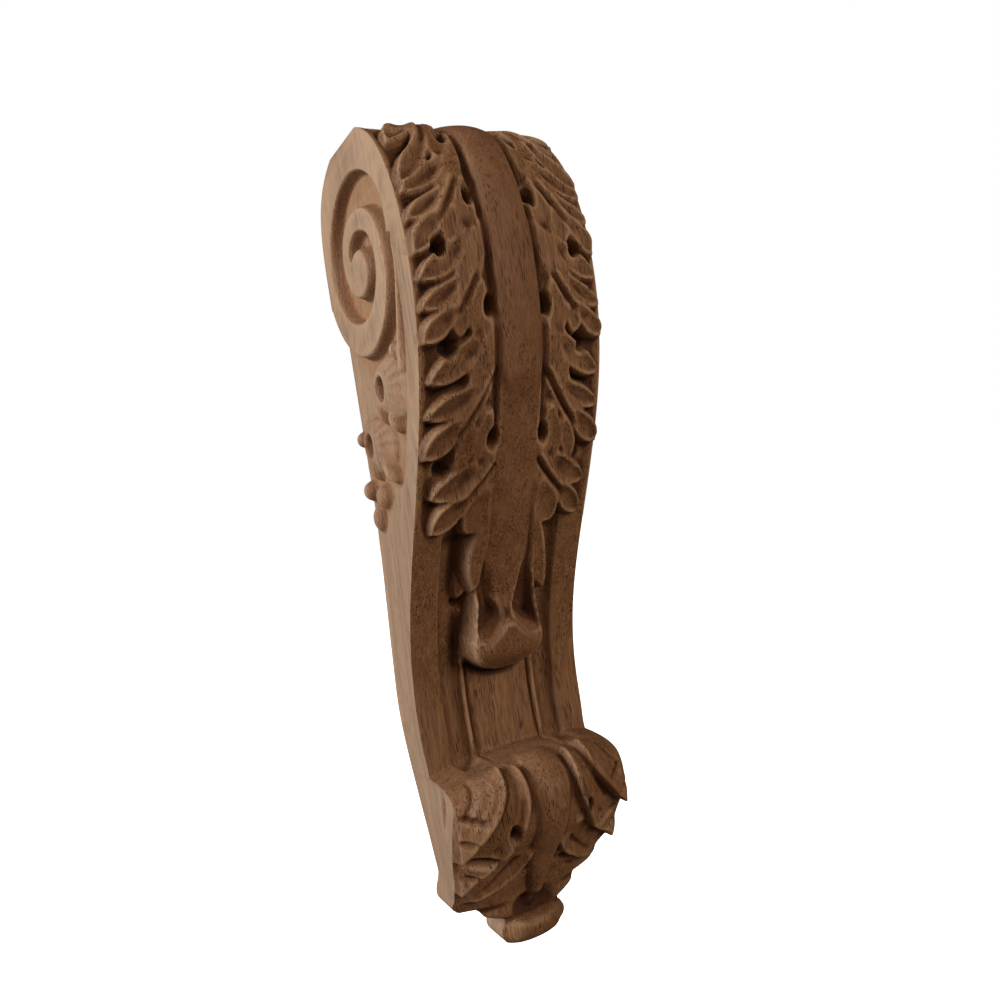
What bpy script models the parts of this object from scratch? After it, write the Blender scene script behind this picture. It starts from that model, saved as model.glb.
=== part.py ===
import bpy
import numpy as np

for old in list(bpy.data.objects):
    bpy.data.objects.remove(old)

# Overall sizes in millimetres, the back lies on Y = 0 and the front faces -Y
HALF_WIDTH = 32.5
TOP = 139.5
BOTTOM = -135.0
BULGE_DEPTH = 65.5
BULGE_LEVEL = 91.0
WAIST_DEPTH = 16.4
FOOT_START = -64.5
FIELD_DEPTH = 4.3
VOLUTE_EYE = (-29.0, 98.7)
MILLIMETRE = 0.001

# Facets of the solid
STATION_STEP = 1.25
FRONT_HALF = 40
SIDE_COLUMNS = 40
BACK_COLUMNS = 4
KEPT_SHARE = 0.112

# Looks of the bare wood
WOOD_COLOUR = (0.262, 0.141, 0.080, 1.0)
WOOD_ROUGHNESS = 0.62


# Curves and blends
def direction(angle):
    turn = np.radians(angle)
    return np.array([np.cos(turn), np.sin(turn)])


def bow(p, leave, reach, q, arrive, pull, n=60):
    """Curve in the side view from p to q, with its two directions and their handle lengths."""
    t = np.linspace(0.0, 1.0, n)[:, None]
    p, q = np.array(p, float), np.array(q, float)
    a = p + reach * direction(leave)
    b = q - pull * direction(arrive)
    return (1 - t) ** 3 * p + 3 * (1 - t) ** 2 * t * a + 3 * (1 - t) * t ** 2 * b + t ** 3 * q


def chain(*bows):
    return np.concatenate([bows[0]] + [b[1:] for b in bows[1:]])


def smooth(e0, e1, v):
    t = np.clip((v - e0) / (e1 - e0), 0.0, 1.0)
    return t * t * (3 - 2 * t)


def knots(v, *pairs):
    """Smooth curve through a few (place, value) pairs."""
    x, y = np.array(pairs, float).T
    v = np.clip(v, x[0], x[-1])
    k = np.clip(np.searchsorted(x, v, side="right") - 1, 0, len(x) - 2)
    slope = np.gradient(y, x)
    h = x[k + 1] - x[k]
    t = (v - x[k]) / h
    start = (2 * t ** 3 - 3 * t ** 2 + 1) * y[k] + (t ** 3 - 2 * t ** 2 + t) * h * slope[k]
    return start + (3 * t ** 2 - 2 * t ** 3) * y[k + 1] + (t ** 3 - t ** 2) * h * slope[k + 1]


def lengths(curve):
    return np.concatenate([[0], np.cumsum(np.linalg.norm(np.diff(curve, axis=0), axis=1))])


# Side view of the piece
def upper_front():
    """Flat top, the great bulge and the long sweep in to the shaft."""
    return chain(
        bow((-28, TOP), 180, 5, (-43, TOP), 180, 5, 30),
        bow((-43, TOP), 200, 12, (-BULGE_DEPTH, BULGE_LEVEL), 270, 28),
        bow((-BULGE_DEPTH, BULGE_LEVEL), 270, 26, (-45.5, 25.7), 298, 22))


def edge_profile():
    """Side view of the two front edges, from the flat top to the foot."""
    return chain(
        upper_front(),
        bow((-45.5, 25.7), 298, 32, (-WAIST_DEPTH, -52), 270, 30),
        bow((-WAIST_DEPTH, -52), 270, 4, (-17.0, -68), 264, 4, 30),
        bow((-17.0, -68), 186, 12, (-34.2, -75.5), 270, 4, 40),
        bow((-34.2, -75.5), 270, 12, (-25.5, -99), 290, 6, 40),
        bow((-25.5, -99), 290, 6, (-11.5, -117), 270, 6, 40),
        bow((-11.5, -117), 270, 3, (-13.0, -126), 264, 4, 24),
        bow((-13.0, -126), 264, 5, (-7, BOTTOM), 0, 4, 30))


def middle_profile():
    """Side view of the front along its middle, cut at the same stations as the edges."""
    return chain(
        upper_front(),
        bow((-45.5, 25.7), 298, 32, (-WAIST_DEPTH, -50), 270, 28),
        bow((-WAIST_DEPTH, -50), 270, 3, (-17.0, FOOT_START), 264, 3, 30),
        bow((-17.0, FOOT_START), 178, 15, (-40.5, -77), 270, 7, 40),
        bow((-40.5, -77), 270, 14, (-25.5, -103), 300, 10, 40),
        bow((-25.5, -103), 300, 6, (-17.0, -117), 285, 5, 40),
        bow((-17.0, -117), 285, 3, (-16.6, -126), 264, 4, 24),
        bow((-16.6, -126), 264, 6, (-8, BOTTOM), 0, 6, 30))


def back_profile():
    """Rounded shoulder of the volute, then the flat back down to the foot."""
    return chain(
        bow((-20, TOP), -20, 16, (0, 104), 270, 22),
        bow((0, 104), 270, 60, (0, -130), 270, 60),
        bow((0, -130), 270, 3, (-3, BOTTOM), 190, 2, 20))


def resample(curve, n):
    run = lengths(curve)
    s = np.linspace(0, run[-1], n)
    return np.stack([np.interp(s, run, c) for c in curve.T], 1)


def rear_points(back, edge):
    """Points of the back that belong to the stations, at the same level below the shoulder."""
    shoulder = 112.0
    k = np.argmax(edge[:, 1] < shoulder)
    kb = np.argmax(back[:, 1] < shoulder)
    upper = resample(back[:kb + 1], k + 1)
    z = edge[k:, 1]
    lower = np.stack([np.interp(-z, -back[kb:, 1], back[kb:, 0]), z], 1)
    lower[0] = upper[-1]
    return np.concatenate([upper[:-1], lower])


def stations():
    """Matching points on the front edge, the front middle and the back, one row per station."""
    edge, mid = edge_profile(), middle_profile()
    run = lengths(mid)
    s = np.linspace(0, run[-1], int(run[-1] / STATION_STEP))
    edge = np.stack([np.interp(s, run, v) for v in edge.T], 1)
    corner = np.interp(43.0, -mid[:40, 0], run[:40])
    mid = np.stack([np.interp(s, run, v) for v in mid.T], 1)
    return edge, mid, rear_points(back_profile(), edge), s - corner


def half_widths(z):
    """Half widths at the front edge and at the back for every level, with the lobes of the foot."""
    front = knots(
        z, (BOTTOM, 4), (-134.7, 6.6), (-133.4, 9.8), (-131, 12.2), (-128, 13.0), (-125.4, 12.0),
        (-123.8, 11.2), (-122.6, 14.4), (-121, 17.8), (-118.4, 19.8), (-117.4, 21.4), (-116.6, 26),
        (-115, 28.6), (-110, 29.6), (-105, 31.4), (-98, 32.8), (-90, 34.2), (-80, 34.0), (-73, 32.6),
        (-68, 31.9), (-58, 32.3), (-40, HALF_WIDTH), (TOP, HALF_WIDTH))
    back = knots(
        z, (BOTTOM, 3.6), (-134.7, 6), (-133.4, 9), (-131, 11.4), (-128, 12.2), (-125.4, 11.2),
        (-123.8, 10.6), (-122.6, 13), (-121, 16), (-119.2, 18.6), (-118.3, 22), (-116.6, 25.4),
        (-104, 27.3), (-90, 28.6), (-80, 29.6), (-69, 30.6), (-58, 31.5), (-45, 32.3),
        (-30, HALF_WIDTH), (TOP, HALF_WIDTH))
    return front, back


# Carving of the sides
def band_outside(angle):
    """Outer edge of the spiral band, from where it leaves the back to the eye."""
    return knots(angle, (180, 30), (205, 28.6), (228, 27.8), (262, 27), (300, 24), (345, 21.3),
                 (420, 20), (482, 17.2), (527, 12.6), (560, 10.0), (600, 8.4), (660, 7.4), (900, 7.3))


def band_inside(angle):
    """Inner edge of the spiral band, where the groove starts."""
    return knots(angle, (0, 22.4), (38, 28.7), (80, 31), (123, 27.9), (187, 21.0), (250, 16.3),
                 (310, 13.2), (418, 13.0), (483, 10.2), (505, 7.0), (530, 6.8))


def volute(y, z):
    """Groove of the volute, one in its floor, and the distance beyond the lower end of the band."""
    dy, dz = y - VOLUTE_EYE[0], z - VOLUTE_EYE[1]
    r = np.hypot(dy, dz)
    a = np.degrees(np.arctan2(dz, -dy)) % 360.0
    groove = np.zeros_like(r)
    for turn in (0.0, 360.0):
        v = a + turn
        inside = np.minimum(band_inside(v) - r, r - band_outside(v + 360.0))
        inside = np.where((v > 2) & (v < 503), inside, -9.0)
        groove = np.maximum(groove, smooth(-0.1, 1.1, inside))
    edge = band_outside(np.where(a < 180, a + 360.0, a))
    beyond = np.where((a >= 180) | (a < 8), r - edge, -9.0)
    return groove, beyond


def boss(y, z, cy, cz, ry, rz, turn):
    """Rounded boss, one at its middle and nought at its rim."""
    c, s = direction(turn)
    u = ((y - cy) * c + (z - cz) * s) / ry
    v = ((z - cz) * c - (y - cy) * s) / rz
    return np.sqrt(np.clip(1 - u * u - v * v, 0, 1))


def oval(s, x, cs, cx, rs, rx, turn):
    """Distance from a turned oval's middle, one on its rim."""
    c, q = direction(turn)
    return np.hypot(((s - cs) * c + (x - cx) * q) / rs, ((x - cx) * c - (s - cs) * q) / rx)


def blossom(y, z, hole_y, hole_z, reach):
    """Hooded flower: a drilled hole behind a ridge, and a fan that falls to the front."""
    ahead, above = hole_y - y, z - hole_z
    r = np.hypot(ahead, above)
    a = np.degrees(np.arctan2(above, ahead))
    rim = knots(a, (-180, 4.6), (-125, 6.2), (-88, 8.0), (-64, 11.5), (-35, 0.92 * reach), (0, reach),
                (32, 0.8 * reach), (62, 10.5), (92, 8.6), (135, 6.2), (180, 4.6))
    body = np.sqrt(np.clip(1 - (r / rim) ** 3, 0, 1))
    raised = 4.0 * body * (1 - 0.55 * smooth(4.5, reach, ahead))
    return raised, smooth(1.25, 0.8, np.hypot(ahead / 2.3, above / 3.3))


def side_ground(z, ahead, y_front, beyond):
    """Sunk field behind the rim strip, rising to the full width down the shaft."""
    strip = smooth(9.4, 10.4, ahead)
    sunk = strip * smooth(-0.2, 0.9, beyond) * (z < 108)
    merge = smooth(12, 36, z)
    ramp = smooth(-58, 34, z) ** 0.85 * np.clip(ahead / np.maximum(-y_front, 1), 0, 1) ** 0.8
    return FIELD_DEPTH * np.where(z > 60, sunk, sunk * merge + ramp * (1 - merge))


def side_rib(y, z):
    """Thin rib that hangs beside the volute and ends in a bud."""
    middle = knots(z, (44, -41.5), (70, -46.0), (84, -50.2), (92, -52.6), (106, -52.0))
    half = knots(z, (44, 2.6), (66, 3.0), (72, 2.2), (92, 1.9), (106, 1.0))
    round_top = np.sqrt(np.clip(1 - ((y - middle) / half) ** 2, 0, 1))
    return 3.0 * round_top * smooth(60, 64, z) * smooth(107, 103, z)


def side_flowers(y, z):
    """Two flowers, their loose petals and three berries: raised height and drilled middles."""
    raised, drilled = np.zeros_like(y), np.zeros_like(y)
    for hole_y, hole_z, reach in ((-28.0, 60.4, 19.5), (-11.8, 44.2, 17.5)):
        bloom, hole = blossom(y, z, hole_y, hole_z, reach)
        raised, drilled = np.maximum(raised, bloom), np.maximum(drilled, hole)
    petals = ((-34.0, 49.2, 5.0, 2.8, 62), (-24.8, 53.6, 5.2, 1.7, 66), (-42.3, 69.9, 2.8, 3.2, 0),
              (-24.0, 34.0, 6.0, 2.9, 43), (-10.8, 36.6, 5.0, 2.2, 60), (-4.4, 47.6, 2.8, 3.2, 0))
    berries = ((-3.2, 29.8, 3.3, 3.7, 0), (-14.2, 26.7, 4.6, 4.5, 0), (-8.2, 20.0, 3.7, 5.2, 12))
    for shape in petals + berries:
        raised = np.maximum(raised, 4.0 * boss(y, z, *shape))
    return raised, drilled * (z < 75)


def side_recess(y, z, y_front):
    """How far each point of a side lies inside the full width."""
    groove, beyond = volute(y, z)
    depth = side_ground(z, y - y_front, y_front, beyond)
    depth = depth - side_rib(y, z) * (depth > 1)
    raised, drilled = side_flowers(y, z)
    carved = np.maximum(FIELD_DEPTH * 0.93 - raised, 0.2)
    depth = np.where(raised > 0, np.minimum(depth, carved), depth) + 3.6 * drilled
    slot = smooth(1.2, 0.4, oval(y, z, -26.0 + 0.02 * (z + 77.5) ** 2, -77.5, 1.3, 5.6, 0))
    return np.maximum(depth, FIELD_DEPTH * groove) + 1.3 * slot


# Carving of the front, s runs down the front from the top edge and x from the middle
def bend(*places):
    """Spine through its start and tip, drawn towards the place between them."""
    p = np.array(places, float)
    t = np.linspace(0, 1, 18)[:, None]
    return (1 - t) ** 2 * p[0] + 2 * (1 - t) * t * p[1] + t ** 2 * p[2]


def near(s, x, spine):
    """Distance to a spine, how far along it, and the side of it."""
    best = np.full(s.shape, 1e9)
    along, side = np.zeros(s.shape), np.zeros(s.shape)
    n = len(spine) - 1
    for i in range(n):
        a, d = spine[i], spine[i + 1] - spine[i]
        u = np.clip(((s - a[0]) * d[0] + (x - a[1]) * d[1]) / (d @ d), 0, 1)
        e = np.hypot(s - a[0] - u * d[0], x - a[1] - u * d[1])
        closer = e < best
        best = np.where(closer, e, best)
        along = np.where(closer, (i + u) / n, along)
        side = np.where(closer, np.sign((s - a[0]) * d[1] - (x - a[1]) * d[0]), side)
    return best, along, side


def tent(v, reach):
    return np.clip(1 - np.abs(v) / reach, 0, 1)


def lobe(h, s, x, root, way, tip, half, high, low, scoop):
    """Lays one scooped lobe over the relief: a raised rim, a hollow face and sloping flanks."""
    dist, u, _ = near(s, x, bend(root, way, tip))
    t = np.clip((u - 0.62) / 0.38, 0, 1)
    width = half * np.clip(u / 0.62, 0, 1) ** 0.6 * (1 - t * t) ** 0.62
    v = np.clip(dist / np.maximum(width, 0.3), 0, 1)
    level = high + (low - high) * u - scoop * smooth(0.08, 0.45, u) * (1 - v ** 2.4)
    cover = smooth(-1.5, 0.1, width - dist) * smooth(0.0, 0.14, u)
    return h + (level - h) * cover


def stalk(h, s, x, line, half, high, low):
    """Rounded body of a leaf, from the stem to the root of its last lobe."""
    dist, u, _ = near(s, x, bend(*line))
    cover = smooth(-1.2, 0.6, half * (1 - 0.35 * u) - dist) * smooth(0.0, 0.1, u)
    level = high + (low - high) * u - 0.7 * np.clip(dist / half, 0, 1) ** 2
    return h + (level - h) * cover


def vein(h, s, x, line, depth):
    """Sharp groove with a raised lip along its outer side."""
    dist, u, side = near(s, x, bend(*line))
    fade = smooth(0.0, 0.15, u) * smooth(1.0, 0.8, u)
    lip_line = 0.7 * tent(dist - 1.5, 1.3) * (side < 0)
    return h + (lip_line - depth * tent(dist, 1.1)) * fade


def drill(h, s, x, cs, cx, rs, rx, floor, turn=0.0):
    m = smooth(1.2, 0.7, oval(s, x, cs, cx, rs, rx, turn))
    return h * (1 - m) + np.minimum(h, floor) * m


# Each leaf: its body line, its main vein, and its lobes as root, bend, tip and half width
LEAVES = (
    (((102, 9.2), (114, 11.5), (124, 18)), ((109.8, 6.9), (116.6, 10.7), (125.4, 20.5)),
     (((109, 12), (116.5, 18), (121.3, 28.2), 3.5), ((120, 15.5), (125, 21), (132.8, 27.4), 3.5),
      ((116.5, 10), (126, 12.6), (134.2, 15.8), 4.0))),
    (((67, 11), (86, 12), (98, 19)), ((83.1, 8.4), (93.4, 13.5), (105, 23.5)),
     (((71, 12), (80, 17), (86.5, 29.8), 3.6), ((87.5, 14.5), (92.3, 20), (96.6, 30.4), 2.9),
      ((96.5, 18.5), (101.3, 24), (108.4, 31.4), 3.5), ((98, 16), (105, 19), (113, 20.7), 2.6),
      ((93, 10.6), (103, 13), (111.8, 13), 3.4))),
    (((39, 12), (54, 13), (66, 20)), ((56, 12.5), (64, 17.2), (68.8, 22)),
     (((45, 14), (52.5, 19), (57.9, 30.6), 3.3), ((57, 17.5), (62, 22.5), (66, 31), 2.4),
      ((65, 20.3), (70, 25), (75, 31.6), 3.0), ((64.5, 18), (69, 20.6), (74.2, 20.3), 2.3),
      ((57, 12.8), (66, 12.6), (74.5, 15), 3.1))),
    (((7, 13), (26, 13), (39, 20)), ((27, 13), (37, 18.6), (43.5, 23.4)),
     (((20, 14.5), (27, 20), (32.2, 30.8), 3.1), ((31.5, 18.5), (36.3, 23.5), (41, 31.2), 2.3),
      ((38, 20.5), (44, 26), (50.9, 31.4), 3.1), ((36, 17.6), (43, 19.5), (48, 20.6), 2.7),
      ((26, 12.8), (36, 12.2), (44.4, 14), 3.2))),
    (((-18, 14), (2, 14), (15, 19)), ((0, 14.6), (8, 16.8), (16, 20.6)),
     (((-10, 16), (2, 22), (11.6, 29.4), 4.2), ((10, 17), (19, 22), (29.0, 30.6), 3.2),
      ((2, 14.4), (12, 14.6), (20.4, 16.4), 3.7))))
EYES = ((11.3, 12.0), (33.2, 10.8), (65.5, 10.0), (103.6, 9.2))
HOLES = ((113.1, 25.2, 2.5, 2.0, 0), (77.3, 23.6, 2.6, 2.2, 0), (49.2, 23.9, 2.5, 2.1, 0),
         (11.2, 26.0, 5.4, 1.5, 62))


def leaf(h, s, x, body, main, lobes):
    """One acanthus leaf: its body, its lobes from the last to the first, and its vein."""
    h = stalk(h, s, x, body, 5.4, 5.0, 4.2)
    for root, way, tip, half in reversed(lobes):
        inner = tip[1] < 22
        h = lobe(h, s, x, root, way, tip, half, 5.0, 4.1 if inner else 3.5, 0.9 if inner else 1.7)
    return vein(h, s, x, main, 1.9)


def flutes(x):
    """Cross-section of the plain shaft: flat borders, hollow flutes, fillets and a middle panel."""
    hollow = -0.7 - 2.7 * np.sqrt(np.clip(1 - ((x - 18.4) / 3.75) ** 2, 0, 1))
    fillet = -0.5 - 0.5 * np.clip(np.abs(x - 13.6) - 0.5, 0, 1)
    panel = -0.5 - 0.9 * (x / 12.2) ** 4
    h = np.where(x > 22.3, 0.0, np.where(x > 14.6, hollow, np.where(x > 12.7, fillet, panel)))
    return h - 1.3 * tent(x - 12.55, 0.7) - 0.5 * tent(x - 22.2, 0.6)


def stem(h, s, x):
    """Middle stem with its raised tongue and the grooves beside it."""
    rise = 0.55 + 0.45 * smooth(-18, 20, s)
    low = (4.8 - 0.9 * (x / 7.6) ** 2) * rise
    cover = smooth(8.3, 7.5, x) * smooth(152, 140, s)
    h = h * (1 - cover) + low * cover
    h = h - 1.5 * tent(x - 8.6, 1.2) * smooth(0, 12, s) * smooth(112, 90, s)
    end = np.clip((s - 80.0) / 14.0, 0, 1)
    tongue = smooth(-1.8, 1.3, 6.9 * np.sqrt(1 - end ** 2) - x) * smooth(94.5, 84, s)
    return h * (1 - tongue) + (6.7 * rise - 1.5 * (x / 7) ** 2) * tongue


def husk(h, s, x):
    """Husk that spreads from the stem, with a lance leaf that stands free on each side."""
    half = knots(s, (96, 7.5), (110, 8.2), (122, 9.0), (130, 10.6), (136, 13.6), (141, 15.0),
                 (148, 14.6), (154, 12.4), (176, 11.6))
    body = smooth(-1.4, 0.5, half - x) * smooth(98, 112, s) * smooth(180, 176, s)
    h = h * (1 - body) + (4.6 + 0.9 * smooth(120, 150, s) - 0.8 * (x / 13) ** 2) * body
    h = lobe(h, s, x, (124, 7.4), (144, 10.4), (158.4, 14.6), 3.6, 5.0, 5.6, 0.8)
    gap = near(s, x, bend((128, 7.0), (143, 8.0), (154, 10.6)))[0]
    h = h - 1.9 * tent(gap, 1.1)
    slot = near(s, x, bend((152.4, 8.6), (155.4, 10.8), (159.6, 15.0)))[0]
    return h - 3.4 * tent(slot, 2.2)


def lip_line(x):
    """Where the hollows of the cup rise in to its lip, with a cusp in the middle."""
    return knots(x, (0, 163.8), (1.0, 164.1), (4.0, 167.6), (7.4, 171.0), (10.6, 171.4),
                 (13.4, 170.0), (16, 169.0))


def cup(h, s, x):
    """Hollow cup at the husk's end: its two walls, its hollows and the broad ridge between them."""
    rim = knots(s, (138, 9.2), (147, 10.0), (154, 10.6), (160, 11.2), (168, 12.3), (175, 13.1), (184, 13.1))
    rise = knots(s, (147, 4.8), (156, 6.8), (166, 9.2), (176, 10.6))
    wall = smooth(1.4, 0.3, x - rim) * smooth(151, 158, s) * smooth(184, 179, s)
    h = np.where(wall > 0, np.maximum(h, rise * wall), h)
    ridge = knots(s, (130, 8.4), (140, 6.8), (150, 4.8), (157, 3.0), (162, 1.4), (166, 0.6), (174, 0.4))
    floor = knots(s, (134, 5.0), (142, 4.0), (150, 3.1), (158, 2.6), (166, 2.7), (176, 3.0))
    bottom = floor + (10.8 - floor) * smooth(-7.0, 1.0, s - lip_line(x))
    hollow = smooth(-0.1, 1.5, x - ridge) * smooth(0.2, -1.5, x - rim) * smooth(133, 141, s)
    hollow = hollow * (s - lip_line(x) < 2)
    middle = knots(s, (140, 5.5), (152, 5.3), (159, 5.8), (163.8, 7.4), (167, 10.6)) - 0.03 * x * x
    on_ridge = smooth(0.6, -0.4, x - ridge) * smooth(146, 154, s) * (s - lip_line(x) < 2)
    h = h * (1 - on_ridge) + middle * on_ridge
    return h * (1 - hollow) + np.minimum(h, bottom) * hollow


def lip(h, s, x):
    """Rolled lip that closes the cup."""
    t = np.clip((s - 173.5) / 12.4, 0, 1)
    half = 13.9 * (1 - t ** 2.3) ** 0.5
    cover = smooth(-0.9, 0.5, half - x) * smooth(-0.5, 1.5, s - lip_line(x)) * smooth(187, 185.5, s)
    crown = 10.9 - 6.8 * t ** 2.2 - 2.0 * (x / 14.4) ** 4
    return h * (1 - cover) + crown * cover


def crest(s, x, spine, height, gentle, steep):
    """Ridge that falls slowly on its outer side and quickly on its inner side."""
    dist, u, side = near(s, x, spine)
    reach = np.where(side < 0, gentle, steep)
    return height * np.clip(1 - dist / reach, 0, 1) ** 1.4 * smooth(0, 0.08, u)


def foot_crests(s, x):
    """Middle rib and the swept crests of the leaf that rolls over at the foot."""
    rib_half = knots(s, (234, 5.6), (247, 7.2), (260, 6.0), (280, 5.6), (290, 3.8), (300, 2.2))
    g = 2.6 * np.sqrt(np.clip(1 - (x / rib_half) ** 2, 0, 1)) * smooth(304, 296, s)
    outer = chain(bend((233, 16.6), (247, 13.6), (256, 22.0)), bend((256, 22.0), (262, 27.5), (270, 34.0)))
    inner = chain(bend((234, 11.6), (250, 6.2), (264, 14.0)), bend((264, 14.0), (275, 19.0), (288, 31.5)))
    last = bend((272, 5.2), (286, 7.0), (293, 23.0))
    for one in ((inner, 3.6, 9.5, 1.3), (outer, 4.4, 13.0, 1.4), (last, 2.4, 6.0, 1.2)):
        g = np.maximum(g, crest(s, x, *one))
    return g


def foot_cuts(g, s, x):
    """Veins, slots and eyes cut into the leaf of the foot."""
    for line, depth, reach in ((bend((239, 25.0), (247, 26.0), (253, 29.6)), 1.3, 1.5),
                               (bend((247, 18.0), (254, 18.2), (262, 23.4)), 0.9, 1.8),
                               (bend((252, 11.8), (260, 13.0), (268, 20.6)), 1.0, 1.8),
                               (bend((277, 11.0), (283, 14.0), (289, 21.0)), 1.0, 1.6),
                               (bend((284, 5.8), (290, 8.6), (294, 16.0)), 0.8, 1.4)):
        g = g - depth * tent(near(s, x, line)[0], reach)
    slots = ((254.6, 27.4, 1.2, 4.2, 6, 2.4), (261.6, 30.6, 1.0, 3.0, -2, 1.9),
             (272.6, 24.6, 1.9, 6.6, -4, 4.0), (280.0, 27.0, 1.0, 3.2, 14, 1.6))
    eyes = ((263.6, 13.9, 4.8, 2.1, -14, 5.6), (287.6, 11.4, 3.8, 1.6, 52, 4.4))
    for cs, cx, rs, rx, turn, depth in slots + eyes:
        g = g - depth * smooth(1.2, 0.55, oval(s, x, cs, cx, rs, rx, turn))
    return g


def foot_drop(g, s, x):
    """Hollow above the drop and the drop's own lip."""
    hollow = smooth(1.15, 0.25, oval(s, x, 303.0, 0.0, 5.6, 9.6, 0))
    tongue = np.clip(1 - x / 2.4, 0, 1) * smooth(306, 299, s)
    g = g - 5.4 * hollow * (1 - 0.7 * tongue)
    return g + 1.5 * smooth(305, 309, s) * smooth(319, 311, s) * smooth(12, 7, x)


def leaf_place(down):
    """Place s of the leaves, husk and cup, which start a little below the top edge."""
    return down - knots(down, (-40, 5.0), (30, 5.0), (50, 4.6), (72, 5.4), (105, 6.2), (135, 7.4),
                        (205, 7.6), (229, 0.0), (400, 0.0))


def front_relief(s, x, half):
    """Height of the carving over the plain curved front, alike on both sides of the middle."""
    x = np.abs(x)
    down, s = s, leaf_place(s)
    upper = smooth(-10, 6, s) * smooth(134, 128, s)
    shaft = smooth(131, 139, s) * (1 - 0.75 * smooth(222, 234, down))
    h = flutes(x) * shaft - 1.1 * smooth(31.6, 29.5, x) * upper
    h = h + (3.9 - 0.35 * (x - 9)) * smooth(15.5, 12.5, x) * upper
    h = lip(cup(husk(h, s, x), s, x), s, x)
    for one in LEAVES:
        h = leaf(h, s, x, *one)
    for place in HOLES:
        h = drill(h, s, x, *place[:4], -3.0, place[4])
    h = stem(h, s, x)
    for cs, cx in EYES:
        h = drill(h, s, x, cs, cx, 3.2, 1.5, -2.0, 8)
    foot = foot_drop(foot_cuts(foot_crests(down, x), down, x), down, x)
    on = smooth(231, 240, down)
    h = h * (1 - on) + foot * on
    ends = smooth(-9, 18, down) * smooth(0.0, 3.0, down[-1, 0] - down)
    return soften(h) * smooth(0.0, 1.4, half - x) * ends


def soften(h):
    """Rounds the relief by one facet, as a worn chisel edge does."""
    p = np.pad(h, 1, mode="edge")
    p = (p[:-2] + 2 * p[1:-1] + p[2:]) / 4
    return (p[:, :-2] + 2 * p[:, 1:-1] + p[:, 2:]) / 4


# Skin of the solid
def front_strip(edge, mid, s, half):
    """Points of the carved front, one row per station."""
    c = np.linspace(-1, 1, 2 * FRONT_HALF + 1)
    x = half[:, None] * c[None, :]
    share = (1 - np.abs(c) ** 2.2)[None, :, None]
    base = edge[:, None, :] * (1 - share) + mid[:, None, :] * share
    along = np.gradient(base, axis=0)
    along = along / (np.linalg.norm(along, axis=2, keepdims=True) + 1e-12)
    outward = np.stack([along[..., 1], -along[..., 0]], 2)
    h = front_relief(s[:, None] + 0 * x, x, half[:, None])
    return np.concatenate([x[..., None], base + outward * h[..., None]], 2)


def side_strip(edge, rear, front_half, back_half):
    """Points of the right side, from the back edge to the front edge."""
    t = np.linspace(0, 1, SIDE_COLUMNS + 1)[None, :]
    place = rear[:, None, :] * (1 - t[..., None]) + edge[:, None, :] * t[..., None]
    w = back_half[:, None] * (1 - t) + front_half[:, None] * t
    depth = soften(side_recess(place[..., 0], place[..., 1], edge[:, :1] + 0 * w))
    depth[:, -1] = 0
    return np.concatenate([(w - depth)[..., None], place], 2)


def closed_loops():
    """One closed loop of points round the piece for every station."""
    edge, mid, rear, s = stations()
    front_half, back_half = half_widths(edge[:, 1])
    front = front_strip(edge, mid, s, front_half)
    side = side_strip(edge, rear, front_half, back_half)
    left = side * np.array([-1, 1, 1])
    loop = np.concatenate([left[:, :-1], front, side[:, -2::-1]], 1)
    a, b = loop[:, -1:], loop[:, :1]
    shares = np.linspace(0, 1, BACK_COLUMNS + 1)[1:-1]
    return np.concatenate([loop] + [a * (1 - q) + b * q for q in shares], 1)


def skin(name):
    """Closed mesh of the whole piece in metres."""
    loop = closed_loops()
    n, m = loop.shape[:2]
    i = np.arange(n - 1)[:, None] * m
    j = np.arange(m)[None, :]
    following = (j + 1) % m
    quads = np.stack([i + j, i + m + j, i + m + following, i + following], 2).reshape(-1, 4)
    caps = [tuple(range(m)), tuple(reversed(range((n - 1) * m, n * m)))]
    mesh = bpy.data.meshes.new(name)
    points = (loop.reshape(-1, 3) * MILLIMETRE).tolist()
    mesh.from_pydata(points, [], [tuple(q) for q in quads.tolist()] + caps)
    mesh.update()
    return mesh


# Bare wood
def wood():
    """Unfinished brown hardwood."""
    material = bpy.data.materials.new("bare_wood")
    material.use_nodes = True
    shader = material.node_tree.nodes["Principled BSDF"]
    shader.inputs["Base Color"].default_value = WOOD_COLOUR
    shader.inputs["Roughness"].default_value = WOOD_ROUGHNESS
    shader.inputs["Metallic"].default_value = 0.0
    return material


# The carved bracket, one piece of wood
corbel = bpy.data.objects.new("carved_corbel", skin("carved_corbel"))
bpy.context.scene.collection.objects.link(corbel)
corbel.data.materials.append(wood())
corbel.data.polygons.foreach_set("use_smooth", [True] * len(corbel.data.polygons))
corbel.data.set_sharp_from_angle(angle=np.radians(40))
facets = corbel.modifiers.new("facets", "DECIMATE")
facets.ratio = KEPT_SHARE
facets.use_symmetry = True
facets.symmetry_axis = "X"
facets.use_collapse_triangulate = True
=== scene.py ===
import bmesh
import bpy
import numpy as np
from mathutils import Matrix, Vector


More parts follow.
